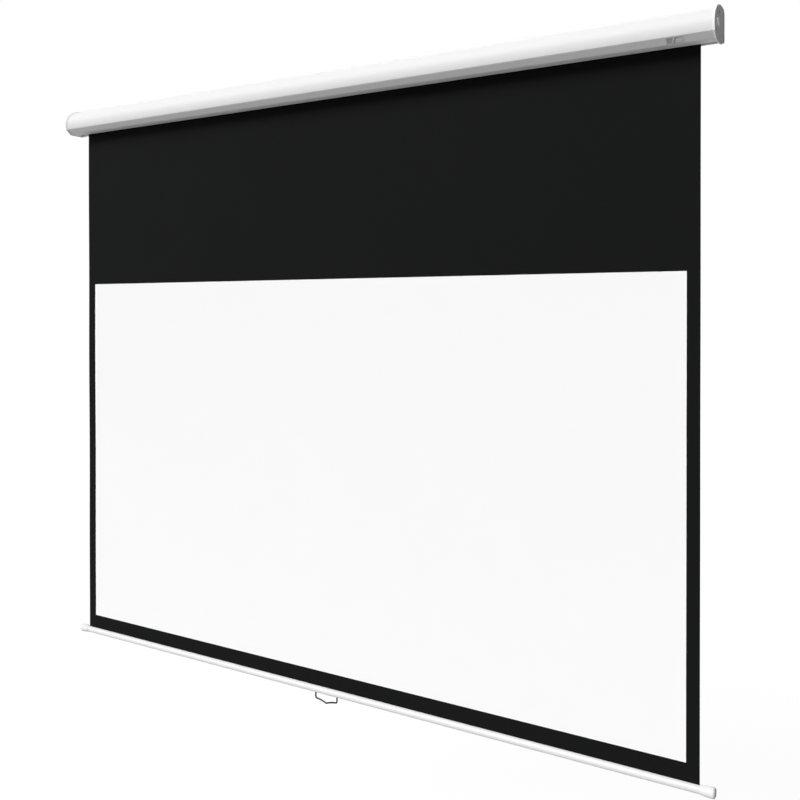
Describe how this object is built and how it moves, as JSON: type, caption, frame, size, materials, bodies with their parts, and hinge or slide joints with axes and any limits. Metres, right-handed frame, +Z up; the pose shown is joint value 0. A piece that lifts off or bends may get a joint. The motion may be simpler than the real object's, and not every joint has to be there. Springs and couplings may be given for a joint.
{
  "type": "pull-down projection screen",
  "caption": "Wall-mounted pull-down projection screen: domed casing with a spring roller inside, black-bordered white fabric, round weight bar and a wire pull handle.",
  "frame": {"origin": "on the casing's flat back, which faces the wall: midway along it, level with its back screws", "axes": "+X along the screen to the viewer's right, +Y into the wall, +Z up"},
  "size_m": [2.3812, 0.1113, 2.0029],
  "materials": {
    "casing_paint": "satin white powder coat",
    "cap_plastic": "white moulded plastic, slightly glossier than the casing",
    "fabric_white": "matte white screen surface with a black border and black drop",
    "fabric_black": "matte black coated cloth",
    "zinc_steel": "zinc plated",
    "spring_steel": "oiled spring wire",
    "dark_wire": "dark bright-plated wire",
    "black_plastic": "moulded black plastic",
    "nylon": "natural nylon"
  },
  "bodies": {
    "root": {"casing": "casing_paint", "end_cap_left": "cap_plastic", "end_cap_right": "cap_plastic", "cap_screw_left_1": "zinc_steel", "cap_screw_left_2": "zinc_steel", "cap_screw_left_3": "zinc_steel", "cap_screw_right_1": "zinc_steel", "cap_screw_right_2": "zinc_steel", "cap_screw_right_3": "zinc_steel", "back_screw_left": "zinc_steel", "back_screw_right": "zinc_steel", "roller_bracket_left": "zinc_steel", "roller_bracket_right": "zinc_steel", "hanger_plate_left": "zinc_steel", "hanger_plate_right": "zinc_steel", "hanger_rivet_left_1": "zinc_steel", "hanger_rivet_left_2": "zinc_steel", "hanger_rivet_right_1": "zinc_steel", "hanger_rivet_right_2": "zinc_steel", "idler_pin": "zinc_steel", "spring_arbor": "zinc_steel", "spring_anchor": "zinc_steel", "pawl_pin": "zinc_steel", "screen_fabric": "fabric_white"},
    "roller": {"roller_tube": "zinc_steel", "wound_fabric": "fabric_black", "idler_plug": "black_plastic", "idler_bush": "nylon", "retract_damper": "black_plastic", "spring_plug": "black_plastic", "arbor_bush": "nylon", "arbor_steady": "nylon", "torsion_spring": "spring_steel", "ratchet_wheel": "zinc_steel"},
    "pawl": {"lock_pawl": "zinc_steel"},
    "selector": {"selector_slide": "cap_plastic"},
    "bar": {"weight_bar": "casing_paint", "weight_rod_left": "zinc_steel", "weight_rod_right": "zinc_steel", "bar_cap_left": "cap_plastic", "bar_cap_right": "cap_plastic", "handle_bush_left": "nylon", "handle_bush_right": "nylon", "fabric_keder": "black_plastic"},
    "handle": {"pull_handle": "dark_wire"}
  },
  "joints": [
    {"name": "screen_travel", "type": "slide", "parent": "root", "child": "bar", "axis": [0, 0, 1], "range_m": [0, 1.83622], "deforming": ["screen_fabric"]},
    {"name": "roller_spin", "type": "hinge", "parent": "root", "child": "roller", "pos_m": [0, -0.06535, 0.018], "axis": [1, 0, 0], "range_deg": [0, 4816]},
    {"name": "handle_swing", "type": "hinge", "parent": "bar", "child": "handle", "pos_m": [-0.027, -0.0435, -1.895], "axis": [1, 0, 0], "range_deg": [-35, 35]},
    {"name": "selector_slide", "type": "slide", "parent": "root", "child": "selector", "axis": [-1, 0, 0], "range_m": [0, 0.011]},
    {"name": "lock_pawl", "type": "hinge", "parent": "root", "child": "pawl", "pos_m": [1.1507, -0.09068, -0.0025], "axis": [1, 0, 0], "range_deg": [-12, 0]}
  ],
  "couplings": [
    {"joint": "roller_spin", "follows": "screen_travel", "rad_per_m": 45.767},
    {"joint": "lock_pawl", "follows": "selector_slide", "rad_per_m": -19.039}
  ]
}
